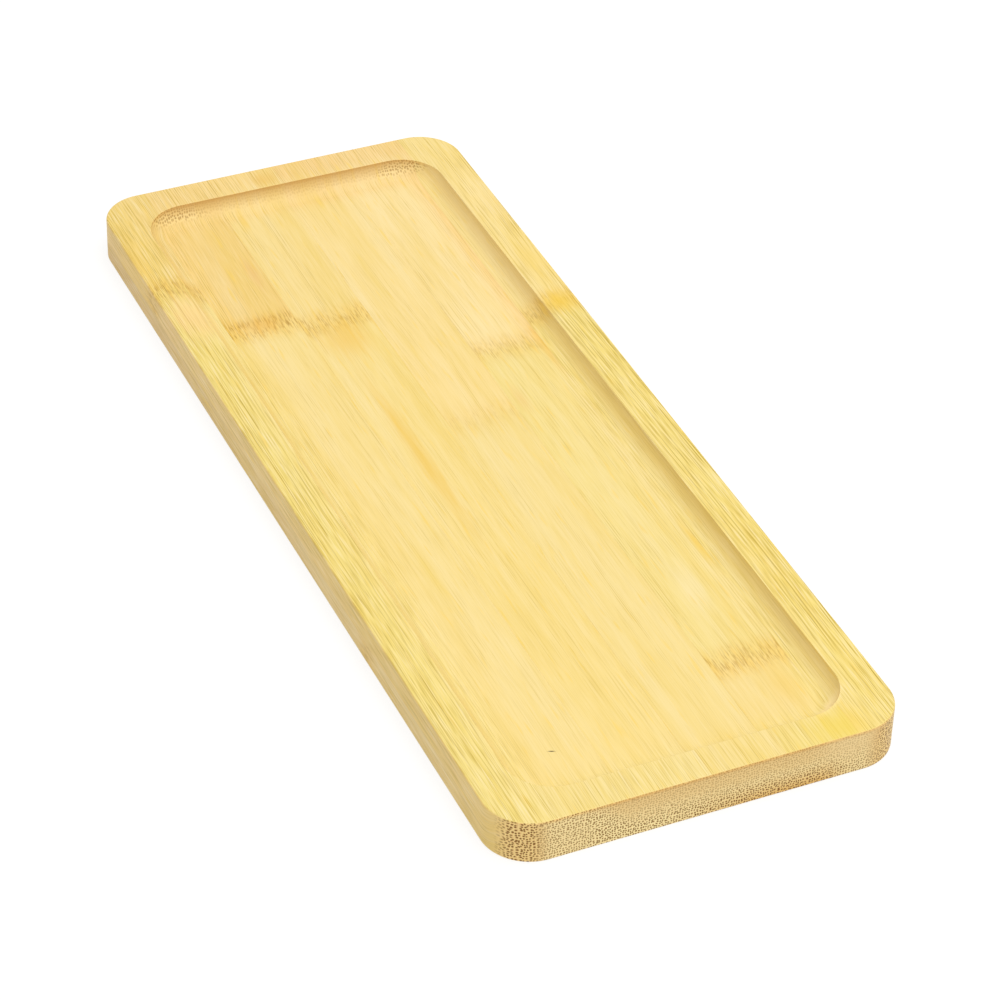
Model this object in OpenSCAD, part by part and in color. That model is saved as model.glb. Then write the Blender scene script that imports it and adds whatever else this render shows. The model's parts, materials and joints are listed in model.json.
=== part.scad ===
// Rectangular bamboo tray, milled from a board of glued bamboo strips in two layers.
// +X runs across the strips, +Y along the fibres and +Z up. The origin is at the centre
// of the bottom face.

/* [Tray] */
// Length of the tray, along the bamboo fibres
tray_l = 290; // [200:1:450]
// Width of the tray, across the strips
tray_w = 110; // [94:1:150]
// Radius of the four outer corners, in plan
corner_r = 12.5; // [6:0.5:22]
// Width and height of the eased edge round the top and bottom faces
edge_ease = 0.5; // [0.2:0.1:1.5]

/* [Pocket] */
// Width of the rim that is left round the pocket
rim_w = 10; // [7:0.5:18]
// Depth of the pocket floor below the rim
pocket_d = 4.5; // [2:0.1:5.5]
// Radius of the pocket corners where the wall meets the rim, in plan
pocket_r = 12.5; // [7:0.5:18]
// Radius of the cove that turns the pocket wall into the floor
cove_r = 6; // [1:0.1:6.5]

/* [Strips] */
// Width of a full strip in the top layer
top_strip_w = 20; // [16:0.5:23]
// Width of a full strip in the base layer
base_strip_w = 22; // [18:0.5:25]
// Thickness of the strips in the top layer
top_layer_t = 6.5; // [6:0.1:10]
// Thickness of the strips in the base layer
base_layer_t = 6; // [3:0.1:10]

/* [Hidden] */
$fn = 96;

// Strips side by side in each layer
top_strips = 6;
base_strips = 5;
board_t = base_layer_t + top_layer_t;
pocket_l = tray_l - 2 * rim_w;
pocket_w = tray_w - 2 * rim_w;
pocket_z = board_t - pocket_d;
// How far every cut and every strip's slab runs past the board
overrun = 2;
// Height and width of the cove. A cove deeper than the pocket stops at the rim.
cove_rise = min(cove_r, pocket_d);
cove_run = sqrt(pow(cove_r, 2) - pow(cove_r - cove_rise, 2));

// Place of the seam on the right of strip i, in a layer of n strips of full width w. The
// outer strips are trimmed with the board, so seams 0 and n lie past its sides.
function seam_x(i, n, w) =
    i == 0 ? -tray_w / 2 - overrun
    : i == n ? tray_w / 2 + overrun
    : (i - n / 2) * w;

// A slab, l by w in plan with corners of radius r. Its edge has the profile of the
// children, which are drawn with x from a corner's centre outwards, up to r.
module edged_slab(l, w, r, z, h) {
    side_l = l - 2 * r;
    side_w = w - 2 * r;
    translate([-side_w / 2, -side_l / 2, z]) cube([side_w, side_l, h]);
    for (mx = [0, 1]) mirror([mx, 0, 0]) {
        translate([side_w / 2, side_l / 2, 0]) rotate([90, 0, 0]) linear_extrude(side_l) children();
        for (my = [0, 1]) mirror([0, my, 0])
            translate([side_w / 2, side_l / 2, 0]) rotate_extrude(angle = 90) children();
    }
    for (my = [0, 1]) mirror([0, my, 0])
        translate([-side_w / 2, side_l / 2, 0]) rotate([90, 0, 90]) linear_extrude(side_w) children();
}

// Half of the board's section, from a corner's centre to its eased outer face
module board_edge() {
    polygon([
        [0, 0], [corner_r - edge_ease, 0], [corner_r, edge_ease],
        [corner_r, board_t - edge_ease], [corner_r - edge_ease, board_t], [0, board_t]
    ]);
}

// Half of the pocket's section, from a corner's centre to its coved wall
module pocket_edge() {
    translate([0, pocket_z]) square([pocket_r - cove_run, pocket_d + overrun]);
    translate([pocket_r - cove_run, pocket_z]) intersection() {
        square([cove_run, pocket_d + overrun]);
        union() {
            translate([0, cove_r]) circle(cove_r);
            translate([0, cove_rise]) square([cove_run, pocket_d + overrun]);
        }
    }
}

// The glued board with its rounded corners and eased edges
module board() {
    edged_slab(tray_l, tray_w, corner_r, 0, board_t) board_edge();
}

// The space of the pocket, open at the top
module pocket() {
    edged_slab(pocket_l, pocket_w, pocket_r, pocket_z, pocket_d + overrun) pocket_edge();
}

// The slab that strip i of n takes up between its seams, from height z to height z + h
module strip_slab(i, n, w, z, h) {
    left = seam_x(i - 1, n, w);
    translate([left, -tray_l / 2 - overrun, z])
        cube([seam_x(i, n, w) - left, tray_l + 2 * overrun, h]);
}

// Strip i of the top layer, counted from the left, with its share of the pocket
module top_strip(i) {
    difference() {
        intersection() {
            board();
            strip_slab(i, top_strips, top_strip_w, base_layer_t, top_layer_t + overrun);
        }
        pocket();
    }
}

// Strip i of the base layer, counted from the left
module base_strip(i) {
    intersection() {
        board();
        strip_slab(i, base_strips, base_strip_w, -overrun, base_layer_t + overrun);
    }
}

module left_rim_strip() { color("#e9c76f") top_strip(1); }
module floor_strip_1() { color("#f0d68d") top_strip(2); }
module floor_strip_2() { color("#f3dc98") top_strip(3); }
module floor_strip_3() { color("#f5dfa0") top_strip(4); }
module floor_strip_4() { color("#f1d890") top_strip(5); }
module right_rim_strip() { color("#ebca74") top_strip(6); }
module base_strip_1() { color("#dcbb74") base_strip(1); }
module base_strip_2() { color("#e2c37e") base_strip(2); }
module base_strip_3() { color("#d9b86f") base_strip(3); }
module base_strip_4() { color("#e0c07a") base_strip(4); }
module base_strip_5() { color("#d6b46c") base_strip(5); }

left_rim_strip();
floor_strip_1();
floor_strip_2();
floor_strip_3();
floor_strip_4();
right_rim_strip();
base_strip_1();
base_strip_2();
base_strip_3();
base_strip_4();
base_strip_5();
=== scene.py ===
"""Bamboo tray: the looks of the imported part.

The tray is milled from a board of glued bamboo strips, six over five. Each strip is a piece of
its own, cut from the shape of the whole board and given the finish of its own length of culm:
the tone of each internode, the growth rings between them, and the fibre bundles that show as
lines along the strip and as dots on its ends. Lengths are metres unless a name ends in mm, and
inside a material every place and length is in millimetres.
"""
from __future__ import annotations

import json
import logging
import math
from dataclasses import dataclass
from enum import Enum
from typing import Any, NamedTuple

import bmesh
import bpy
from mathutils import Matrix, Vector

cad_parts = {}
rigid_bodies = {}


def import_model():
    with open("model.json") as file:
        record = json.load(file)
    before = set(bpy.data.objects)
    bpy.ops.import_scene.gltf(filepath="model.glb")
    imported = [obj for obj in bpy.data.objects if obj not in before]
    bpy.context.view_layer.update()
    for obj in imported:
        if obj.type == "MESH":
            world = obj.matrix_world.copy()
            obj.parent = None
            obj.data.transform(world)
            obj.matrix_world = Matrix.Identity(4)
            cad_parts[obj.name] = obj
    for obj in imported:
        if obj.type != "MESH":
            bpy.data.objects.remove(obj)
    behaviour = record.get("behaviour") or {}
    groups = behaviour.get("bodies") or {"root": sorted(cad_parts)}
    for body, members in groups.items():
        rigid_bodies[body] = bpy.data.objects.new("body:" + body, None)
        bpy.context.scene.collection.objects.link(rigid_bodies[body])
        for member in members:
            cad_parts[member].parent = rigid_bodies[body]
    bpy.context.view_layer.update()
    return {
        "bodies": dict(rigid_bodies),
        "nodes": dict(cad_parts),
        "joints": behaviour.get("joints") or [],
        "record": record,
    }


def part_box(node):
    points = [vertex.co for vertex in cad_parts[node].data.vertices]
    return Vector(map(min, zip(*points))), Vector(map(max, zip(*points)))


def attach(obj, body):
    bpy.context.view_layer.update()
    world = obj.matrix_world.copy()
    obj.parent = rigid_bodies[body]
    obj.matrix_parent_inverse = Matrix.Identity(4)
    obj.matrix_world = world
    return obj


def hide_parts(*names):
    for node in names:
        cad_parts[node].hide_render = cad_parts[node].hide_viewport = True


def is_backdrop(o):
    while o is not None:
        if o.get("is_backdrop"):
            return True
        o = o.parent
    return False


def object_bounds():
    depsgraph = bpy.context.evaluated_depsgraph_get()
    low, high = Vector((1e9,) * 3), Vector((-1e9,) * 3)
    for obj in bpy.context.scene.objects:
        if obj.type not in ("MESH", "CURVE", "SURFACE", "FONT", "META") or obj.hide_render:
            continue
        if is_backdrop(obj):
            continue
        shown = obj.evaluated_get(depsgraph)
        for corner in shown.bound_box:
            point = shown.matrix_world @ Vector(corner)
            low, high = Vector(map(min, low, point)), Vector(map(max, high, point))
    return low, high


LOG = logging.getLogger("bamboo_tray")

MM = 0.001

# The layer of a mesh in which its vertices keep the directions that they face.
FACING = "facing"

# The setting of a node that is given along with its kind.
MAIN_SETTING = {
    "Math": "operation", "VectorMath": "operation", "Mix": "data_type",
    "MapRange": "interpolation_type", "TexNoise": "noise_dimensions",
    "TexVoronoi": "voronoi_dimensions",
}

# A MapRange node takes a value, the two readings of it between which a share fades in, and what
# it gives at either, which is 0 and 1 where nothing is said. This one eases in and out.
FADE = "MapRange:SMOOTHSTEP"

WHITE = (1.0, 1.0, 1.0, 1.0)

Source = bpy.types.Node | bpy.types.NodeSocket
Colour = tuple[float, float, float, float]
Span = tuple[float, float]


def linear(srgb_hex: str) -> Colour:
    """Turn an sRGB hex colour into the linear colour that a shader takes.

    Args:
        srgb_hex: The colour as "#rrggbb".

    Returns:
        Red, green, blue and an alpha of 1, all linear.
    """
    channels = [int(srgb_hex[i:i + 2], 16) / 255 for i in (1, 3, 5)]
    red, green, blue = (
        c / 12.92 if c <= 0.04045 else ((c + 0.055) / 1.055) ** 2.4 for c in channels
    )
    return (red, green, blue, 1.0)


@dataclass(frozen=True)
class Nodes:
    """The nodes of a material or of the world."""

    tree: bpy.types.NodeTree

    def add(self, kind: str, *inputs: Any, **named: Any) -> bpy.types.Node:
        """Add a node with its settings and links.

        Args:
            kind: Blender's name for the kind of node, without ShaderNode before it, and after a
                colon its main setting, if that isn't what Blender sets.
            *inputs: What the inputs in use take, in their order: a value, a socket to link, or
                a node that is linked by the first output it has in use. None leaves one alone.
            **named: The node's settings by attribute name, and more inputs by theirs.

        Returns:
            The new node.
        """
        kind, _, setting = kind.partition(":")
        node = self.tree.nodes.new(f"ShaderNode{kind}")
        if setting:
            setattr(node, MAIN_SETTING[kind], setting)
        for name in [name for name in named if name not in node.inputs]:
            setattr(node, name, named.pop(name))
        in_use = [socket for socket in node.inputs if socket.enabled]
        by_name = [(node.inputs[name], value) for name, value in named.items()]
        for socket, value in (*zip(in_use, inputs), *by_name):
            if isinstance(value, bpy.types.Node):
                value = next(output for output in value.outputs if output.enabled)
            if isinstance(value, bpy.types.NodeSocket):
                self.tree.links.new(value, socket)
            elif value is not None:
                socket.default_value = value
        return node


class Contour(NamedTuple):
    """A level rounded rectangle, centred on the tray, that the board's skin passes through.

    There the skin faces up, turned by lean: outwards, or inwards where lean is below zero.
    """

    half_w: float
    half_l: float
    radius: float
    z: float
    lean: float


@dataclass(frozen=True)
class BoardShape:
    """The milled board: its outline, its pocket and the roundings of its edges."""

    width: float
    length: float
    thickness: float
    layer_z: float
    pocket_z: float
    corner_r: float = 12.5 * MM
    edge_ease: float = 0.5 * MM
    rim_w: float = 10 * MM
    pocket_r: float = 12.5 * MM
    cove_r: float = 6 * MM
    arris_ease: float = 0.15 * MM
    arc_steps: int = 24
    ease_steps: int = 4
    cove_steps: int = 14

    @classmethod
    def from_frame(cls, frame: dict[str, Any]) -> BoardShape:
        """Read the board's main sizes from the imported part.


        Returns:
            The board's shape.
        """
        low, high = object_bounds()
        floor = next(m for m in frame["record"]["mounts"] if m["name"] == "pocket_floor")
        return cls(
            width=high[0] - low[0],
            length=high[1] - low[1],
            thickness=high[2] - low[2],
            layer_z=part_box("base_strip_1")[1].z,
            pocket_z=floor["pos_m"][2],
        )

    @property
    def steepest(self) -> float:
        """The slope of the cove where it meets the rim, in radians."""
        return math.acos(1 - (self.thickness - self.pocket_z) / self.cove_r)

    @property
    def cove_run(self) -> float:
        """How far in from the rim the cove reaches."""
        return self.cove_r * math.sin(self.steepest)

    def outside(self) -> list[Contour]:
        """Give the contours from the bottom face, round both eased edges, to the top face."""
        contours = []
        for centre_z, first_turn in ((self.edge_ease, -90), (self.thickness - self.edge_ease, 0)):
            for step in range(self.ease_steps + 1):
                turn = math.radians(first_turn + 90 * step / self.ease_steps)
                inset = self.edge_ease * (1 - math.cos(turn))
                contours.append(Contour(
                    self.width / 2 - inset, self.length / 2 - inset, self.corner_r - inset,
                    centre_z + self.edge_ease * math.sin(turn), math.pi / 2 - turn,
                ))
        return contours

    def pocket(self) -> list[Contour]:
        """Give the contours from the rim, over the pocket's arris and down the cove."""
        # Each point is how far out from the arris it lies, its height and its lean.
        rim = (self.arris_ease, self.thickness)
        wall = (-self.arris_ease * math.cos(self.steepest),
                self.thickness - self.arris_ease * math.sin(self.steepest))
        section = []
        for step in range(self.ease_steps + 1):
            t = step / self.ease_steps
            section.append((
                rim[0] * (1 - t) ** 2 + wall[0] * t ** 2,
                rim[1] * (1 - t) ** 2 + 2 * self.thickness * t * (1 - t) + wall[1] * t ** 2,
                -self.steepest * t,
            ))
        for step in range(self.cove_steps + 1):
            turn = self.steepest * (1 - step / self.cove_steps)
            z = self.pocket_z + self.cove_r * (1 - math.cos(turn))
            if z < wall[1]:
                section.append((self.cove_r * math.sin(turn) - self.cove_run, z, -turn))
        half_w, half_l = self.width / 2 - self.rim_w, self.length / 2 - self.rim_w
        return [
            Contour(half_w + out, half_l + out, self.pocket_r + out, z, lean)
            for out, z, lean in section
        ]

    def points(self, contour: Contour) -> list[tuple[Vector, Vector]]:
        """Give a contour's points, anticlockwise from above, with as many on every contour.

        Args:
            contour: The contour.

        Returns:
            Its points, each with the direction that the skin faces there.
        """
        points = []
        for corner in range(4):
            side_x = 1 if corner in (0, 3) else -1
            side_y = 1 if corner in (0, 1) else -1
            centre = Vector((
                side_x * (contour.half_w - contour.radius),
                side_y * (contour.half_l - contour.radius),
                contour.z,
            ))
            for step in range(self.arc_steps + 1):
                turn = math.radians(90 * (corner + step / self.arc_steps))
                out = Vector((math.cos(turn), math.sin(turn), 0))
                facing = out * math.sin(contour.lean) + Vector((0, 0, math.cos(contour.lean)))
                points.append((centre + out * contour.radius, facing))
        return points

    def skin(self, contours: list[Contour]) -> bmesh.types.BMesh:
        """Stretch a closed skin over contours.

        Args:
            contours: The contours from the bottom face on.

        Returns:
            The skin as a new bmesh, in which each vertex keeps the direction that it faces.
        """
        mesh = bmesh.new()
        faces_to = mesh.verts.layers.float_vector.new(FACING)
        loops = []
        for contour in contours:
            loop = []
            for point, facing in self.points(contour):
                vert = mesh.verts.new(point)
                vert[faces_to] = facing
                loop.append(vert)
            loops.append(loop)
        count = len(loops[0])
        for lower, upper in zip(loops, loops[1:]):
            for i in range(count):
                j = (i + 1) % count
                mesh.faces.new((lower[i], lower[j], upper[j], upper[i]))
        mesh.faces.new(reversed(loops[0]))
        mesh.faces.new(loops[-1])
        return mesh


class Side(Enum):
    """Where a strip lies. An outer strip's grain runs on round its walls and its outer face."""

    LEFT = -1.0
    MIDDLE = 0.0
    RIGHT = 1.0


class Trail(Enum):
    """The way along the tray in which a growth ring's lines trail off."""

    FRONT = -1.0
    BACK = 1.0


class Internode(NamedTuple):
    """A stretch of culm between two growth rings.

    It has a tone, a tone where it nears the tray's outline, and a strength of grain.
    """

    tone: str
    outer_tone: str
    grain: float


class GrowthRing(NamedTuple):
    """A growth ring across a strip, at y_mm along the tray."""

    y_mm: float
    strength: float
    trail: Trail


class Mark(NamedTuple):
    """A stain, or a patch of painted light, seen as an oval that fades out at its edge."""

    x_mm: float
    y_mm: float
    half_w_mm: float
    half_l_mm: float
    tone: str
    amount: float
    turn_deg: float = 0.0


@dataclass(frozen=True)
class Place(Nodes):
    """Where on a strip the shader is, in millimetres, and shares of what it is near or faces.

    It also holds the material's nodes, to which it adds what is worked out from the place.
    """

    point: Source
    x: Source
    along: Source
    up: Source
    # Near the tray's outline, and within the pocket.
    outer: Source
    milled: Source
    # Facing the front, an end or a side, and turning from a side towards an end at a corner.
    facing_front: Source
    end_on: Source
    side_on: Source
    turning: Source

    @classmethod
    def find(cls, nodes: Nodes, board: BoardShape) -> Place:
        """Find the place from the object's own coordinates and the surface's direction.

        Args:
            nodes: The material's nodes.
            board: The board that the strip is part of.

        Returns:
            The place.
        """
        outer_mm, end_mm, end_share = (15.5, 5.0), 8.0, 0.66
        before_arris_mm, past_arris_mm = 0.6, 0.2
        end_on_span, side_on_span, turning_span = (0.35, 0.75), (0.3, 0.85), (0.05, 0.4)
        coordinates = nodes.add("TexCoord")
        normal = coordinates.outputs["Normal"]
        point = nodes.add("VectorMath:SCALE", coordinates.outputs["Object"], 1 / MM)
        axes = nodes.add("SeparateXYZ", point)
        off_centre = nodes.add("VectorMath:ABSOLUTE", point)
        half_size = (board.width / 2 / MM, board.length / 2 / MM, 0)
        inset = nodes.add("SeparateXYZ", nodes.add("VectorMath:SUBTRACT", half_size, off_centre))
        inset_x, inset_y = inset.outputs["X"], inset.outputs["Y"]
        edge = nodes.add("Math:MINIMUM", inset_x, inset_y)
        # The pocket's wall counts as no width, so that the grain changes evenly on either side.
        rim, cove = board.rim_w / MM, board.cove_run / MM
        wall = nodes.add("MapRange", edge, rim, rim + cove, None, cove)
        from_outline = nodes.add("Math:SUBTRACT", edge, wall)
        # The cutter and the sander run lengthwise, and open the grain less across the ends.
        nearer_end = nodes.add("Math:SUBTRACT", inset_x, inset_y)
        beside_end = nodes.add("MapRange", nearer_end, None, end_mm, 1.0, end_share)
        outer = nodes.add(FADE, from_outline, *outer_mm, None, beside_end)
        milled = nodes.add(FADE, edge, rim - before_arris_mm, rim + past_arris_mm)
        facing = nodes.add("SeparateXYZ", nodes.add("VectorMath:ABSOLUTE", normal))
        towards = nodes.add("SeparateXYZ", normal)
        facing_front = nodes.add("Math:MULTIPLY", towards.outputs["Y"], -1.0, use_clamp=True)
        return cls(
            tree=nodes.tree,
            point=point,
            x=axes.outputs["X"],
            along=axes.outputs["Y"],
            up=axes.outputs["Z"],
            outer=outer,
            milled=milled,
            facing_front=facing_front,
            end_on=nodes.add(FADE, facing.outputs["Y"], *end_on_span),
            side_on=nodes.add(FADE, facing.outputs["X"], *side_on_span),
            turning=nodes.add(FADE, facing.outputs["Y"], *turning_span),
        )


@dataclass(frozen=True)
class Rings:
    """The growth rings of a strip.

    For each ring there is how far behind it the shader is, and whether it is in the internode
    beyond. For all of them there is how near the shader is to any.
    """

    behind: tuple[Source, ...]
    beyond: tuple[Source, ...]
    near: Source

    @classmethod
    def find(cls, place: Place, rings: tuple[GrowthRing, ...]) -> Rings:
        """Find the rings, each of which wanders a little as it crosses the strip.

        Args:
            place: Where on the strip the shader is.
            rings: The strip's growth rings.

        Returns:
            The rings.
        """
        wander_mm, blend_mm, near_mm = 4.0, 3.0, (9.0, 1.5)
        wander = place.add("TexNoise:1D", place.x, Scale=0.2, Detail=2.0, Roughness=0.55)
        along = place.add("Math:MULTIPLY_ADD", wander, wander_mm, place.along)
        behind = tuple(
            place.add("Math:SUBTRACT", along, ring.y_mm + wander_mm / 2) for ring in rings)
        beyond = tuple(place.add(FADE, past, -blend_mm, blend_mm) for past in behind)
        near: Source | float = 0.0
        for ring, past in zip(rings, behind):
            away = place.add("Math:ABSOLUTE", past)
            closeness = place.add(FADE, away, *near_mm, None, ring.strength)
            near = place.add("Math:MAXIMUM", near, closeness)
        return cls(behind, beyond, near)


@dataclass(frozen=True)
class Grain:
    """The strip's fibres: the spot across them in millimetres, and noises and a share of lines."""

    across: Source
    lines: Source
    fibres: Source
    clouds: Source
    dabs: Source
    dashes: Source

    @classmethod
    def lay(cls, place: Place, rings: Rings, side: Side, seed: float) -> Grain:
        """Lay the bundles, the fine fibres and the clouds of tone along the strip.

        Args:
            place: Where on the strip the shader is.
            rings: The growth rings, where the fibres waver.
            side: Where the strip lies.
            seed: The number that makes this strip's grain its own.

        Returns:
            The grain.
        """
        drift_mm, waver_mm = 3.0, 0.4
        # Each strip takes its noises from a place of its own.
        step_mm, step_across_mm = (173.0, 311.0, 79.0), 50.0
        seeded = place.add("VectorMath:ADD", place.point, [seed * step for step in step_mm])
        # The fibres drift sideways over centimetres, and waver over a millimetre at a ring.
        drift, waver = (
            place.add(
                "TexNoise",
                place.add("VectorMath:MULTIPLY", seeded, (1 / width, 1 / length, 1 / width)),
                Scale=1.0, Detail=1.0,
            )
            for width, length in ((26, 110), (1.2, 2.0))
        )
        wavering = place.add("Math:MULTIPLY", rings.near, waver_mm)
        across = place.add("Math:MULTIPLY_ADD", place.up, side.value, place.x)
        for noise, amount in ((drift, drift_mm), (waver, wavering)):
            across = place.add("Math:MULTIPLY_ADD", noise, amount, across)
        across = place.add("Math:ADD", across, seed * step_across_mm)
        flat = place.add("CombineXYZ", across, place.along)
        # Each noise is stretched to its width across and its length along the fibres, in mm.
        fibres, clouds, wide_clouds, dabs, dashes, bunches = (
            place.add(
                "TexNoise:2D",
                place.add("VectorMath:MULTIPLY", flat, (1 / width, 1 / length, 0)),
                Scale=1.0, Detail=detail, Roughness=0.55,
            )
            for width, length, detail in (
                (0.32, 12, 1.5), (3.0, 60, 1.5), (12, 120, 1.0), (1.3, 14, 1.0), (0.4, 4.0, 2.0),
                (4.5, 45, 2.0))
        )
        return cls(
            across=across,
            lines=cls.draw_lines(place, across, bunches),
            fibres=fibres,
            clouds=place.add("Mix", 0.5, clouds, wide_clouds),
            dabs=dabs,
            dashes=dashes,
        )

    @staticmethod
    def draw_lines(place: Place, across: Source, bunches: Source) -> Source:
        """Draw the bundles as thin lines that come and go along the strip.

        Args:
            place: Where on the strip the shader is.
            across: The spot across the fibres.
            bunches: A noise that says where lines bunch.

        Returns:
            The share of line.
        """
        # The pitch is real bamboo's where three bundles lie on a square millimetre.
        pitch_mm, surfacing_mm, unlike = 0.58, 22, 300.0
        bundle = place.add("TexVoronoi:1D", across, Scale=1 / pitch_mm, Randomness=0.85)
        chance = place.add("SeparateColor", bundle.outputs["Color"])
        # Each line has a width and a strength of its own. Widths are shares of the pitch.
        half_w, weight = (
            place.add("Math:MULTIPLY_ADD", chance.outputs[channel], spread, least)
            for channel, spread, least in (("Green", 0.12, 0.06), ("Blue", 0.5, 0.35))
        )
        soft_edge = place.add("Math:ADD", half_w, 0.1)
        body = place.add(FADE, bundle, soft_edge, half_w)
        # A bundle rises to the surface and sinks again every few centimetres.
        which = place.add("Math:MULTIPLY", chance.outputs["Red"], unlike)
        where = place.add("Math:MULTIPLY", place.along, 1 / surfacing_mm)
        surfacing = place.add(
            "TexNoise:2D", place.add("CombineXYZ", which, where),
            Scale=1.0, Detail=3.0, Roughness=0.6,
        )
        showing = place.add(FADE, surfacing, 0.38, 0.64)
        # Sanding has laid the bundles open all along the outline, and elsewhere in places.
        in_bunches = place.add(FADE, bunches, 0.4, 0.64, 0.08, 0.53)
        opened = place.add("MapRange", place.outer, None, None, in_bunches)
        lines = body
        for share in (showing, weight, opened):
            lines = place.add("Math:MULTIPLY", lines, share)
        return lines


@dataclass(frozen=True)
class EndGrain:
    """Bamboo sawn across its fibres and sanded.

    The eye sees the cut ends of the fibre bundles as small brown dots in a net of pale walls.
    They are bold along the bottom and beside the corners, and elsewhere they fade upwards into
    a smooth tan, which is deepest at the top. Spans are places on the end, from where something
    starts to where it is full.
    """

    # The pitch is real bamboo's where two bundles lie on a square millimetre.
    pitch_mm: float = 0.7
    coarse_pitch_mm: float = 0.74
    seed_step_mm: tuple[float, float, float] = (13.0, 7.0, 0.0)
    pushed_mm: tuple[float, float, float] = (0.9, 0.9, 0.0)
    net_top_mm: float = 6.2
    net_uneven_mm: float = 3.0
    net_climb_mm: float = 9.0
    net_left_mm: Span = (-20.0, -36.0)
    net_right_mm: Span = (34.0, 42.0)
    net_skew: float = 0.06
    net_fade_mm: Span = (2.2, -3.5)
    corner_mm: Span = (41.5, 47.0)
    faint_mm: Span = (27.0, 36.0)
    pale_right_mm: Span = (25.0, 37.0)
    top_mm: Span = (7.0, 12.0)
    ochre_up_mm: Span = (6.0, 0.5)
    ochre_right_mm: tuple[Span, Span] = ((-16.0, 20.0), (40.0, 29.0))
    # A thin band under the top edge, darkened as painted shade.
    shade_under_edge_mm: Span = (11.2, 12.3)
    smooth_tone: str = "#e7c583"
    top_tone: str = "#e0b873"
    net_tone: str = "#ebcb8d"
    ochre_tint: str = "#e8ca92"
    wall_tone: str = "#ffeeac"
    pore_tone: str = "#855900"

    def colour(self, strip_colour: Source, place: Place, seed: float) -> Source:
        """Colour the ends: their ground, the net of walls and the dots.

        Args:
            strip_colour: The strip's colour, which shows under the dots in the pocket.
            place: Where on the strip the shader is.
            seed: The number that makes this strip's dots its own.

        Returns:
            The colour.
        """
        section = place.add("CombineXYZ", place.x, place.up)
        uneven = place.add("TexNoise:2D", section, Scale=0.3, Detail=1.0)
        net = self.net_share(place, uneven)
        top = place.add("MapRange", place.up, *self.top_mm)
        pale_right = place.add(FADE, place.x, *self.pale_right_mm, None, 0.9)
        pale = place.add("Math:MAXIMUM", net, pale_right)
        ground: Source | Colour = linear(self.smooth_tone)
        for share, tone in (
            (top, linear(self.top_tone)), (pale, linear(self.net_tone)),
            (place.milled, strip_colour),
        ):
            ground = place.add("Mix:RGBA", share, ground, tone)
        seeded = place.add("VectorMath:ADD", section, [seed * step for step in self.seed_step_mm])
        push = uneven.outputs["Color"]
        pushed = place.add("VectorMath:MULTIPLY_ADD", push, self.pushed_mm, seeded)
        # The bundles are further apart near a corner and in the pocket.
        off_centre = place.add("Math:ABSOLUTE", place.x)
        corner = place.add(FADE, off_centre, *self.corner_mm)
        bold = place.add("Math:MAXIMUM", corner, place.milled)
        fine, coarse = (
            self.scatter_bundles(place, pushed, pitch_mm)
            for pitch_mm in (self.pitch_mm, self.coarse_pitch_mm)
        )
        # A trace of the net shows in the smooth part too. The cutter smears it in the pocket.
        trace, unsmeared = (
            place.add("MapRange", place.milled, None, None, outside, in_pocket)
            for outside, in_pocket in ((0.36, 0.24), (1.0, 0.6))
        )
        clear = place.add("MapRange", net, None, None, trace)
        # The net is faint again between the middle and the corners.
        faint = place.add(FADE, off_centre, *self.faint_mm, 1.0, 0.78)
        faint = place.add("Math:MAXIMUM", faint, bold)
        for part in (unsmeared, faint):
            clear = place.add("Math:MULTIPLY", clear, part)
        for small, large, tone in zip(fine, coarse, (self.wall_tone, self.pore_tone)):
            share = place.add("Mix", bold, small, large)
            share = place.add("Math:MULTIPLY", share, clear)
            ground = place.add("Mix:RGBA", share, ground, linear(tone))
        ochre = self.ochre_share(place, corner)
        tint = linear(self.ochre_tint)
        return place.add("Mix:RGBA", ochre, ground, tint, blend_type="MULTIPLY")

    def scatter_bundles(
        self, place: Place, spot: Source, pitch_mm: float
    ) -> tuple[Source, Source]:
        """Scatter the cut ends of the bundles over the end.

        Args:
            place: Where on the strip the shader is.
            spot: The spot on the end for which the bundles are looked up.
            pitch_mm: How far apart the bundles are.

        Returns:
            The share of pale wall between the bundles, and the share of their dots.
        """
        spread = {"Scale": 1 / pitch_mm, "Randomness": 0.62}
        bundle = place.add("TexVoronoi:2D", spot, **spread)
        between = place.add("TexVoronoi:2D", spot, feature="DISTANCE_TO_EDGE", **spread)
        wall = place.add(FADE, between, 0.21, 0.03, None, 0.9)
        # Each dot has a size and a strength of its own. Sizes are shares of the pitch.
        chance = place.add("SeparateColor", bundle.outputs["Color"])
        radius, weight = (
            place.add("Math:MULTIPLY_ADD", chance.outputs[channel], 0.1, least)
            for channel, least in (("Red", 0.13), ("Green", 1.05))
        )
        soft_edge = place.add("Math:ADD", radius, 0.24)
        dot = place.add(FADE, bundle, soft_edge, radius)
        return wall, place.add("Math:MULTIPLY", dot, weight)

    def net_share(self, place: Place, uneven: Source) -> Source:
        """Say how boldly the net shows: below a height that climbs towards both corners.

        Args:
            place: Where on the strip the shader is.
            uneven: A noise that roughens the height.

        Returns:
            The share.
        """
        # At the right the net starts nearer the middle the further back along the tray it is.
        skewed = place.add("Math:MULTIPLY_ADD", place.along, self.net_skew, place.x)
        left, right = (
            place.add(FADE, x, *span, None, self.net_climb_mm)
            for x, span in ((place.x, self.net_left_mm), (skewed, self.net_right_mm))
        )
        height = place.add("Math:ADD", left, right)
        lowest = self.net_top_mm - self.net_uneven_mm / 2
        height = place.add("Math:ADD", height, lowest)
        height = place.add("Math:MULTIPLY_ADD", uneven, self.net_uneven_mm, height)
        above = place.add("Math:SUBTRACT", place.up, height)
        return place.add("MapRange", above, *self.net_fade_mm)

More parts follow.
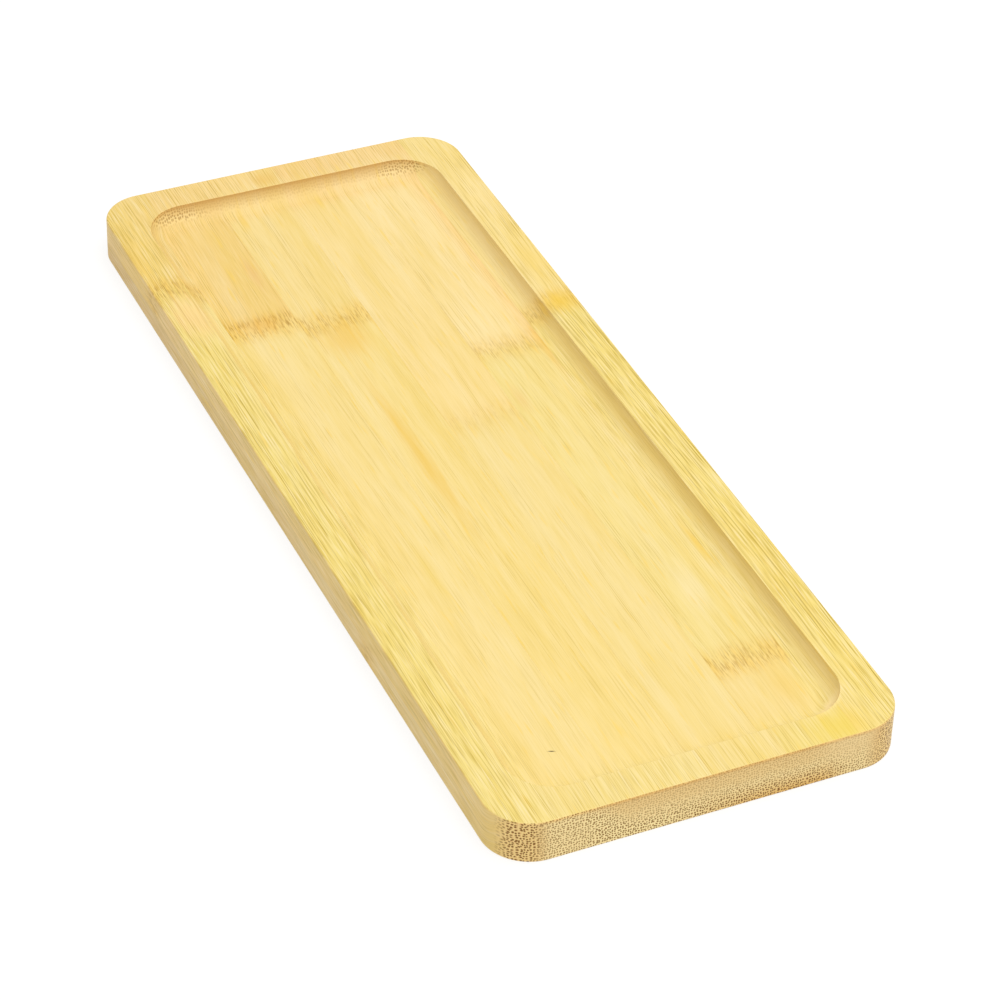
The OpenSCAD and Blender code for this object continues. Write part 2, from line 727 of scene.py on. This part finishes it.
    def ochre_share(self, place: Place, corner: Source) -> Source:
        """Say how ochre the ground is: low at the right and at both corners, and in a thin band
        under the top edge, which is painted shade.

        Args:
            place: Where on the strip the shader is.
            corner: The share that is near a corner.

        Returns:
            The share.
        """
        low = place.add("MapRange", place.up, *self.ochre_up_mm, None, 0.9)
        for span in self.ochre_right_mm:
            part = place.add(FADE, place.x, *span)
            low = place.add("Math:MULTIPLY", low, part)
        at_corner = place.add("Math:MULTIPLY", corner, 0.5)
        # The band under the top edge is painted shade.
        shade_under_edge = place.add(FADE, place.up, *self.shade_under_edge_mm, None, 0.48)
        ochre = place.add("Math:MAXIMUM", low, at_corner)
        return place.add("Math:MAXIMUM", ochre, shade_under_edge)


@dataclass(frozen=True)
class SandedBamboo:
    """Natural bamboo, planed and sanded along the fibres and wiped with clear oil.

    The eye sees a pale straw ground, clouded with gold, with thin olive-brown lines where the
    fibre bundles run along the face, the same bundles as brown dots on the end grain, a soft
    satin sheen, and at each growth ring a bunch of short brown lines that trail off, with the
    tone changing from one side of it to the other.
    """

    internodes: tuple[Internode, ...]
    rings: tuple[GrowthRing, ...]
    seed: float
    side: Side = Side.MIDDLE
    marks: tuple[Mark, ...] = ()
    ends: EndGrain = EndGrain()
    golden_tone: str = "#e0c05a"
    pale_tone: str = "#ecdcb0"
    dab_tone: str = "#ebc658"
    line_tone: str = "#ae9022"
    side_tone: str = "#e6c476"
    side_back_tone: str = "#e8c683"
    side_span_mm: Span = (-80.0, 130.0)
    ring_tone: str = "#a87e2a"
    ring_pale_tone: str = "#efcd72"
    ring_glow_tone: str = "#e4b53c"
    ring_pitch_mm: float = 0.6
    # The painted shade on the pocket's back wall: its brown tone and its strength.
    back_wall_shade_tone: str = "#c99d5c"
    back_wall_shade: float = 0.78
    relief: float = 0.02 * MM
    roughness: Span = (0.46, 0.58)
    ior: float = 1.45
    specular: float = 0.35

    def material(self, name: str, board: BoardShape) -> bpy.types.Material:
        """Make the strip's material.

        Args:
            name: The material's name.
            board: The board that the strip is part of.

        Returns:
            The new material.
        """
        material = bpy.data.materials.new(name)
        material.use_nodes = True
        material.node_tree.nodes.clear()
        place = Place.find(Nodes(material.node_tree), board)
        rings = Rings.find(place, self.rings)
        grain = Grain.lay(place, rings, self.side, self.seed)
        colour = self.ground_colour(place, rings)
        colour = self.grained_colour(colour, place, rings, grain)
        colour = self.ringed_colour(colour, place, rings, grain)
        colour = self.marked_colour(colour, place, grain)
        ends = self.ends.colour(colour, place, self.seed)
        colour = place.add("Mix:RGBA", place.end_on, colour, ends)
        colour = self.back_wall_shaded_colour(colour, place)
        self.finish_surface(colour, place, grain)
        return material

    def ground_colour(self, place: Place, rings: Rings) -> Source:
        """Colour the strip with the tones of its internodes.

        Args:
            place: Where on the strip the shader is.
            rings: The growth rings, where one internode gives way to the next.

        Returns:
            The colour.
        """
        colour, *others = (
            place.add("Mix:RGBA", place.outer, linear(part.tone), linear(part.outer_tone))
            for part in self.internodes
        )
        for tone, beyond in zip(others, rings.beyond):
            colour = place.add("Mix:RGBA", beyond, colour, tone)
        backwards = place.add("MapRange", place.along, *self.side_span_mm)
        side_colour = place.add(
            "Mix:RGBA", backwards, linear(self.side_tone), linear(self.side_back_tone))
        side_most = place.add("MapRange", place.milled, None, None, 0.95, 0.4)
        side = place.add("Math:MULTIPLY", place.side_on, side_most)
        return place.add("Mix:RGBA", side, colour, side_colour)

    def grained_colour(
        self, colour: Source, place: Place, rings: Rings, grain: Grain
    ) -> Source:
        """Add the clouds, the fine fibres and the lines of the bundles.

        Args:
            colour: The colour of the ground.
            place: Where on the strip the shader is.
            rings: The growth rings, where the grain's strength changes too.
            grain: The strip's grain.

        Returns:
            The colour with the grain.
        """
        strength: Source | float = self.internodes[0].grain
        for internode, beyond in zip(self.internodes[1:], rings.beyond):
            strength = place.add("Mix", beyond, strength, internode.grain)
        # The lines show less on the strip's narrow side, less still where the outside turns round
        # a corner, and not at all where they end.
        for facing, outside, in_pocket in (
            (place.side_on, 0.85, 0.45), (place.turning, 0.25, 1.0),
        ):
            left = place.add("MapRange", place.milled, None, None, outside, in_pocket)
            part = place.add("MapRange", facing, None, None, 1.0, left)
            strength = place.add("Math:MULTIPLY", strength, part)
        before_end = place.add("MapRange", place.end_on, None, 0.35, 1.0, 0.0)
        strength = place.add("Math:MULTIPLY", strength, before_end)
        fibre_share = place.add("MapRange", place.outer, None, None, 0.44, 1.2)
        fibre_strength = place.add("Math:MULTIPLY", strength, fibre_share)
        for noise, start, full, most, amount, tone in (
            (grain.clouds, 0.5, 0.7, 0.36, 1.0, self.golden_tone),
            (grain.clouds, 0.5, 0.32, 0.2, 1.0, self.pale_tone),
            (grain.dabs, 0.66, 0.8, 0.45, 1.0, self.dab_tone),
            (grain.fibres, 0.5, 0.26, 0.42, fibre_strength, self.pale_tone),
            (grain.fibres, 0.5, 0.76, 0.36, fibre_strength, self.line_tone),
            (grain.lines, 0.0, 1.0, 1.05, strength, self.line_tone),
        ):
            share = place.add("MapRange", noise, start, full, None, most)
            share = place.add("Math:MULTIPLY", share, amount, use_clamp=True)
            colour = place.add("Mix:RGBA", share, colour, linear(tone))
        return colour

    def ringed_colour(
        self, colour: Source, place: Place, rings: Rings, grain: Grain
    ) -> Source:
        """Add the growth rings: a golden hatch of dashes, and brown lines that trail off one way.

        Args:
            colour: The colour without the rings.
            place: Where on the strip the shader is.
            rings: The growth rings.
            grain: The strip's grain.

        Returns:
            The colour with the rings.
        """
        scatter_mm, lead_mm, least_mm, most_mm = 6.0, 1.6, 1.6, 11.0
        bundle = place.add(
            "TexVoronoi:1D", grain.across, Scale=1 / self.ring_pitch_mm, Randomness=0.9)
        chance = place.add("SeparateColor", bundle.outputs["Color"])
        body = place.add(FADE, bundle, 0.36, 0.14)
        weight = place.add("Math:MULTIPLY_ADD", chance.outputs["Blue"], 0.6, 0.15)
        # Half the lines run only a millimetre or two past the ring, and a few over a centimetre.
        seldom_far = place.add("Math:POWER", chance.outputs["Green"], 3.0)
        reach = place.add("Math:MULTIPLY_ADD", seldom_far, most_mm, least_mm)
        lines: Source | float = 0.0
        for ring, past in zip(self.rings, rings.behind):
            run = place.add("Math:MULTIPLY_ADD", chance.outputs["Red"], scatter_mm, past)
            run = place.add("Math:SUBTRACT", run, scatter_mm / 2)
            run = place.add("Math:MULTIPLY", run, ring.trail.value)
            begun = place.add(FADE, run, -lead_mm, 0.0, None, ring.strength)
            left = place.add("MapRange", run, reach, 0.0)
            line = place.add("Math:MULTIPLY", begun, left)
            lines = place.add("Math:MAXIMUM", lines, line)
        for share in (body, weight):
            lines = place.add("Math:MULTIPLY", lines, share)
        patches = place.add(FADE, grain.dabs, 0.35, 0.65, 0.25, 0.55)
        glow = place.add("Math:MULTIPLY", rings.near, patches)
        close = place.add("Math:POWER", rings.near, 1.5)
        dark_dash, pale_dash = (
            place.add("Math:MULTIPLY", close, place.add(FADE, grain.dashes, start, full, None, most))
            for start, full, most in ((0.48, 0.68, 0.75), (0.47, 0.3, 0.5))
        )
        for share, tone in (
            (glow, self.ring_glow_tone), (pale_dash, self.ring_pale_tone),
            (dark_dash, self.ring_tone), (lines, self.ring_tone),
        ):
            colour = place.add("Mix:RGBA", share, colour, linear(tone))
        return colour

    def marked_colour(self, colour: Source, place: Place, grain: Grain) -> Source:
        """Add the strip's own stains, and the patches of painted light among its marks.

        Args:
            colour: The colour without the marks.
            place: Where on the strip the shader is.
            grain: The strip's grain, which frays a mark's edge.

        Returns:
            The colour with the marks.
        """
        fray, any_height_mm = 0.1, 1000
        fraying = place.add("MapRange", grain.dabs, 0.3, 0.7, fray, -fray)
        for mark in self.marks:
            local = place.add(
                "Mapping", place.point, vector_type="TEXTURE",
                Location=(mark.x_mm, mark.y_mm, 0),
                Rotation=(0, 0, math.radians(mark.turn_deg)),
                Scale=(mark.half_w_mm, mark.half_l_mm, any_height_mm),
            )
            out = place.add("VectorMath:LENGTH", local)
            frayed = place.add("Math:ADD", out, fraying)
            share = place.add(FADE, frayed, 1.0, 0.0, None, mark.amount)
            colour = place.add("Mix:RGBA", share, colour, linear(mark.tone))
        return colour

    def back_wall_shaded_colour(self, colour: Source, place: Place) -> Source:
        """Darken the pocket's steep back wall to brown where it faces the front, as painted shade.

        Args:
            colour: The colour without the painted shade.
            place: Where on the strip the shader is.

        Returns:
            The colour with the painted shade.
        """
        # The power keeps the painted shade to the steep upper part of the wall.
        share = place.add("Math:POWER", place.facing_front, 3.3)
        for part in (place.milled, self.back_wall_shade):
            share = place.add("Math:MULTIPLY", share, part)
        return place.add("Mix:RGBA", share, colour, linear(self.back_wall_shade_tone))

    def finish_surface(self, colour: Source, place: Place, grain: Grain) -> None:
        """Finish the surface with its sheen and the slight relief that sanding leaves.

        Args:
            colour: The finished colour.
            place: Where on the strip the shader is.
            grain: The strip's grain.
        """
        height = place.add("Math:MULTIPLY_ADD", grain.lines, -0.6, grain.fibres)
        bump = place.add("Bump", Strength=0.25, Distance=self.relief, Height=height)
        rough = place.add("MapRange", grain.fibres, 0.3, 0.7, *self.roughness)
        shader = place.add("BsdfPrincipled", **{
            "Base Color": colour, "Roughness": rough, "IOR": self.ior,
            "Specular IOR Level": self.specular, "Normal": bump,
        })
        place.add("OutputMaterial", shader)


@dataclass(frozen=True)
class Strip:
    """One glued strip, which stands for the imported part's node of its name."""

    node: str
    slot: str
    finish: SandedBamboo


@dataclass(frozen=True)
class StripLayer:
    """A layer of strips, cut side by side from the board's shape."""

    board: BoardShape
    strips: tuple[Strip, ...]
    seam_ease: float = 0.03 * MM
    crease_deg: float = 40.0
    outline_slack: float = 0.01 * MM
    on_plane: float = 0.001 * MM
    cut_slack: float = 1e-7

    def contours(self) -> list[Contour]:
        """Give the contours of the skin that the layer is cut from."""
        return self.board.outside()

    def away_from_layer(self) -> Vector:
        """Give the direction from the glue between the layers to the half that isn't this one."""
        return Vector((0, 0, 1))

    def build(self) -> list[bpy.types.Object]:
        """Build and dress every strip of the layer.

        Returns:
            The strips' objects, riding on the tray.
        """
        pieces = []
        for strip in self.strips:
            piece = self.cut_strip(strip)
            self.dress(piece, strip)
            pieces.append(piece)
            LOG.info("%s: %d faces, stands for %s", piece.name, len(piece.data.polygons), strip.node)
        return pieces

    def cut_strip(self, strip: Strip) -> bpy.types.Object:
        """Cut a strip from the board's shape between its seams.

        Args:
            strip: The strip.

        Returns:
            The strip's object.
        """
        low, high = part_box(strip.node)
        mesh = self.board.skin(self.contours())
        outline = self.board.width / 2 - self.outline_slack
        seams = []
        for x, away in ((low.x, -1), (high.x, 1)):
            if abs(x) < outline:
                seams.append(x)
                self.cut(mesh, Vector((x, 0, 0)), Vector((away, 0, 0)))
        self.cut(mesh, Vector((0, 0, self.board.layer_z)), self.away_from_layer())
        self.ease_seams(mesh, seams)
        bmesh.ops.recalc_face_normals(mesh, faces=mesh.faces)
        crease = math.radians(self.crease_deg)
        for edge in mesh.edges:
            edge.smooth = len(edge.link_faces) == 2 and edge.calc_face_angle() < crease
        faces_to = mesh.verts.layers.float_vector[FACING]
        normals = []
        for face in mesh.faces:
            face.smooth = True
            for vert in face.verts:
                # The board's own curve is shaded as one, so that it runs on over the seams.
                on_curve = face.normal.angle(vert[faces_to]) < crease
                normals.append(vert[faces_to].normalized() if on_curve else face.normal.copy())
        mesh.verts.layers.float_vector.remove(faces_to)
        data = bpy.data.meshes.new(f"{strip.node}_bamboo")
        mesh.to_mesh(data)
        mesh.free()
        data.normals_split_custom_set(normals)
        piece = bpy.data.objects.new(data.name, data)
        bpy.context.scene.collection.objects.link(piece)
        return piece

    def cut(self, mesh: bmesh.types.BMesh, point: Vector, away: Vector) -> None:
        """Cut a mesh at a plane and close the cut.

        Args:
            mesh: The mesh to cut.
            point: A point on the plane.
            away: The direction in which everything goes.
        """
        bmesh.ops.bisect_plane(
            mesh, geom=mesh.verts[:] + mesh.edges[:] + mesh.faces[:], dist=self.cut_slack,
            plane_co=point, plane_no=away, clear_outer=True,
        )
        bmesh.ops.holes_fill(mesh, edges=[e for e in mesh.edges if e.is_boundary], sides=0)

    def ease_seams(self, mesh: bmesh.types.BMesh, seams: list[float]) -> None:
        """Break the strip's long edges where a seam shows, as sanding does.

        Args:
            mesh: The strip's mesh.
            seams: The x of each seam.
        """
        edges = [
            edge for edge in mesh.edges
            if any(all(abs(v.co.x - x) < self.on_plane for v in edge.verts) for x in seams)
            and not all(abs(v.co.z - self.board.layer_z) < self.on_plane for v in edge.verts)
        ]
        bmesh.ops.bevel(
            mesh, geom=edges, offset=self.seam_ease, offset_type="OFFSET", segments=1,
            profile=0.5, affect="EDGES", clamp_overlap=True,
        )

    def dress(self, piece: bpy.types.Object, strip: Strip) -> None:
        """Give a strip its bamboo and put it on the tray in place of its node.

        Args:
            piece: The strip's object.
            strip: The strip.
        """
        piece.data.materials.append(
            strip.finish.material(f"sanded_bamboo_{strip.node}", self.board))
        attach(piece, "root")
        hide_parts(strip.node)


@dataclass(frozen=True)
class TopLayer(StripLayer):
    """The six strips that the pocket is milled into."""

    def contours(self) -> list[Contour]:
        """Give the contours of the skin, with the pocket's after the outside's."""
        return self.board.outside() + self.board.pocket()

    def away_from_layer(self) -> Vector:
        """Give the direction from the glue between the layers to the half that isn't this one."""
        return Vector((0, 0, -1))


@dataclass(frozen=True)
class BaseLayer(StripLayer):
    """The five plain strips under the pocket."""


# A pale patch in the pocket's front-right corner, which runs over a seam: painted light that lifts
# the shadow on the coved wall there.
CORNER_PAINTED_LIGHT = Mark(39.6, -130.9, 2.8, 9.0, "#f6dc9e", 0.95, -50.0)


def top_strips() -> tuple[Strip, ...]:
    """Give the strips of the top layer from left to right, as the tray shows them."""
    return (
        Strip("left_rim_strip", "bamboo_rim_strip", SandedBamboo(
            side=Side.LEFT,
            internodes=(Internode("#e9d088", "#e6cf78", 1.0), Internode("#e5c57e", "#e6c771", 1.0)),
            rings=(GrowthRing(95.8, 0.75, Trail.FRONT),),
            seed=1.0,
            marks=(
                Mark(-49.0, 81.0, 9.0, 17.0, "#f3c88e", 0.5),
                Mark(-54.0, 112.0, 5.0, 20.0, "#e5bf5c", 0.5),
            ),
        )),
        Strip("floor_strip_1", "bamboo_floor_strip", SandedBamboo(
            internodes=(Internode("#e8cf87", "#e5ce7e", 0.75), Internode("#e5c476", "#ebca83", 1.0)),
            rings=(GrowthRing(75.0, 0.85, Trail.BACK),),
            seed=2.0,
            marks=(
                Mark(-30.0, -45.0, 2.2, 18.0, "#e3c566", 0.5),
                Mark(-30.0, 75.5, 9.0, 6.5, "#dfab4e", 0.45),
                Mark(-23.0, 100.0, 2.5, 12.0, "#dcae70", 0.4),
                Mark(-29.9, -118.0, 1.5, 0.32, "#3f2c10", 1.0, -22.0),
            ),
        )),
        Strip("floor_strip_2", "bamboo_floor_strip", SandedBamboo(
            internodes=(Internode("#e8ce82", "#e7d185", 0.8), Internode("#e8cd83", "#ebc679", 0.9)),
            rings=(GrowthRing(70.5, 0.68, Trail.FRONT),),
            seed=3.0,
            marks=(
                Mark(-12.5, 4.0, 3.4, 56.0, "#e2bc56", 0.8),
                Mark(-10.5, 61.0, 10.5, 14.0, "#e3b953", 0.62),
                Mark(-16.0, 126.0, 1.8, 7.0, "#e6c052", 0.6),
                Mark(-5.0, 139.0, 6.0, 5.0, "#dfb45c", 0.5),
            ),
        )),
        Strip("floor_strip_3", "bamboo_floor_strip", SandedBamboo(
            internodes=(Internode("#e7ce85", "#e5ca75", 0.7), Internode("#eacf89", "#e9bf77", 0.7)),
            rings=(GrowthRing(13.5, 0.25, Trail.FRONT),),
            seed=4.0,
            marks=(
                Mark(8.0, 88.0, 2.0, 30.0, "#e2c468", 0.4),
                Mark(8.5, 128.0, 1.2, 6.0, "#e8c65a", 0.6),
            ),
        )),
        Strip("floor_strip_4", "bamboo_floor_strip", SandedBamboo(
            internodes=(
                Internode("#e7cd85", "#e6d17d", 0.8), Internode("#e6cf83", "#e4cc7e", 0.9),
                Internode("#ecd394", "#e9c075", 0.8),
            ),
            rings=(GrowthRing(-104.5, 0.7, Trail.BACK), GrowthRing(41.0, 0.5, Trail.FRONT)),
            seed=5.0,
            marks=(
                Mark(37.0, -141.0, 13.0, 12.0, "#e3c750", 0.75),
                Mark(34.0, -117.0, 7.0, 12.0, "#e3bf5c", 0.4),
                Mark(39.5, 37.0, 2.4, 18.0, "#e4b84c", 0.55),
                Mark(39.5, -58.0, 2.2, 14.0, "#e3bf50", 0.7),
                Mark(23.0, 17.0, 3.0, 9.0, "#e4bd74", 0.45),
                Mark(30.0, -74.0, 5.0, 16.0, "#ebdcb4", 0.3),
                # Painted light in the pocket's front-right corner.
                CORNER_PAINTED_LIGHT,
            ),
        )),
        Strip("right_rim_strip", "bamboo_rim_strip", SandedBamboo(
            side=Side.RIGHT,
            internodes=(Internode("#e7ce84", "#e7cf75", 1.1), Internode("#e9d08c", "#eacf80", 0.7)),
            rings=(GrowthRing(50.5, 0.6, Trail.FRONT),),
            seed=6.0,
            marks=(
                Mark(50.0, 50.0, 7.0, 8.0, "#e6be40", 0.75),
                Mark(52.0, 108.0, 8.0, 22.0, "#f3dca8", 0.3),
                Mark(51.0, 72.0, 7.0, 18.0, "#e8c868", 0.5),
                Mark(38.0, -141.0, 11.0, 12.0, "#e8c858", 0.75),
                # Painted light in the pocket's front-right corner.
                CORNER_PAINTED_LIGHT,
            ),
        )),
    )


def base_strips() -> tuple[Strip, ...]:
    """Give the strips of the base layer from left to right."""
    return tuple(
        Strip(f"base_strip_{i + 1}", "bamboo_base_strip", SandedBamboo(
            side=side,
            internodes=(Internode(front, front, 0.9), Internode(back, back, 0.9)),
            rings=(GrowthRing(y_mm, 0.6, Trail.BACK),),
            # The sides darken towards the back of the tray: painted shade of the contact shadow low
            # down there.
            seed=11.0 + i, side_tone="#e4c47c", side_back_tone="#d7b476",
        ))
        for i, (side, front, back, y_mm) in enumerate((
            (Side.LEFT, "#e6cc8c", "#e4c98a", -62.0),
            (Side.MIDDLE, "#e4c986", "#dfc07a", 88.0),
            (Side.MIDDLE, "#dfc07a", "#e5ca88", -14.0),
            (Side.MIDDLE, "#e3c782", "#e6cc8a", 118.0),
            (Side.RIGHT, "#dfc080", "#e2c688", 36.0),
        ))
    )


@dataclass(frozen=True)
class Studio:
    """A pale light table under a large softbox, in a soft white room.

    The table lies a clearance under the tray, so that their faces don't share a plane.
    """

    table_size: float = 6.0
    table_tone: str = "#808080"
    table_glow: float = 0.8
    clearance: float = 0.05 * MM
    sky_strength: float = 0.62
    key_size: float = 1.6
    key_place: tuple[float, float, float] = (0.25, -0.25, 1.5)
    key_power: float = 19.8

    def build(self) -> None:
        """Lay the table and hang the lights."""
        self.lay_table()
        self.hang_lights()

    def lay_table(self) -> None:
        """Lay the table that the tray stands on."""
        half = self.table_size / 2
        corners = [(-half, -half, 0), (half, -half, 0), (half, half, 0), (-half, half, 0)]
        data = bpy.data.meshes.new("light_table")
        data.from_pydata(corners, [], [(0, 1, 2, 3)])
        table = bpy.data.objects.new("light_table", data)
        table.location.z = -self.clearance
        bpy.context.scene.collection.objects.link(table)
        # Matt opal acrylic, lit from below: even white, and light enough to drown the shadows.
        opal = bpy.data.materials.new("matt_opal_acrylic")
        opal.use_nodes = True
        opal.node_tree.nodes.clear()
        nodes = Nodes(opal.node_tree)
        shader = nodes.add("BsdfPrincipled", **{
            "Base Color": linear(self.table_tone), "Roughness": 0.9, "Specular IOR Level": 0.1,
            "Emission Color": WHITE, "Emission Strength": self.table_glow,
        })
        nodes.add("OutputMaterial", shader)
        data.materials.append(opal)
        table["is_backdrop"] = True

    def hang_lights(self) -> None:
        """Light the room evenly and hang the softbox."""
        world = bpy.data.worlds.new("soft_white_room")
        world.use_nodes = True
        world.node_tree.nodes.clear()
        nodes = Nodes(world.node_tree)
        sky = nodes.add("Background", WHITE, self.sky_strength)
        nodes.add("OutputWorld", sky)
        bpy.context.scene.world = world
        light = bpy.data.lights.new("overhead_softbox", "AREA")
        light.shape = "SQUARE"
        light.size = self.key_size
        light.energy = self.key_power
        softbox = bpy.data.objects.new("overhead_softbox", light)
        softbox.location = self.key_place
        softbox.rotation_euler = Vector(self.key_place).to_track_quat("Z", "Y").to_euler()
        bpy.context.scene.collection.objects.link(softbox)


@dataclass(frozen=True)
class PhotoCamera:
    """The camera, where a fit to the tray's outline in the photograph puts it."""

    azimuth_deg: float = -25.29
    elevation_deg: float = 37.64
    roll_deg: float = 1.99
    distance: float = 1.0
    focal_mm: float = 133.76
    sensor_mm: float = 36.0
    nearest: float = 0.05
    aim_right: float = 8.64 * MM
    aim_up: float = -6.48 * MM

    def build(self) -> None:
        """Place the camera and make it the scene's."""
        azimuth, elevation, roll = (
            math.radians(a) for a in (self.azimuth_deg, self.elevation_deg, self.roll_deg))
        back = Vector((
            math.sin(azimuth) * math.cos(elevation),
            -math.cos(azimuth) * math.cos(elevation),
            math.sin(elevation),
        ))
        level = Vector((math.cos(azimuth), math.sin(azimuth), 0))
        over = back.cross(level)
        right = level * math.cos(roll) + over * math.sin(roll)
        up = over * math.cos(roll) - level * math.sin(roll)
        place = right * self.aim_right + up * self.aim_up + back * self.distance
        data = bpy.data.cameras.new("photo_camera")
        data.sensor_width = self.sensor_mm
        data.lens = self.focal_mm
        data.clip_start = self.nearest
        camera = bpy.data.objects.new("photo_camera", data)
        camera.matrix_world = Matrix((
            (right.x, up.x, back.x, place.x),
            (right.y, up.y, back.y, place.y),
            (right.z, up.z, back.z, place.z),
            (0, 0, 0, 1),
        ))
        bpy.context.scene.collection.objects.link(camera)
        bpy.context.scene.camera = camera


def main() -> None:
    """Build the camera, the tray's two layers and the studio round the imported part."""
    logging.basicConfig(level=logging.INFO, format="%(name)s: %(message)s")
    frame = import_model()
    PhotoCamera().build()
    board = BoardShape.from_frame(frame)
    for layer in (TopLayer(board, top_strips()), BaseLayer(board, base_strips())):
        pieces = layer.build()
        LOG.info("%s: %d strips", type(layer).__name__, len(pieces))
    Studio().build()
    bpy.context.scene.view_settings.view_transform = "Standard"


if __name__ == "__main__":
    main()
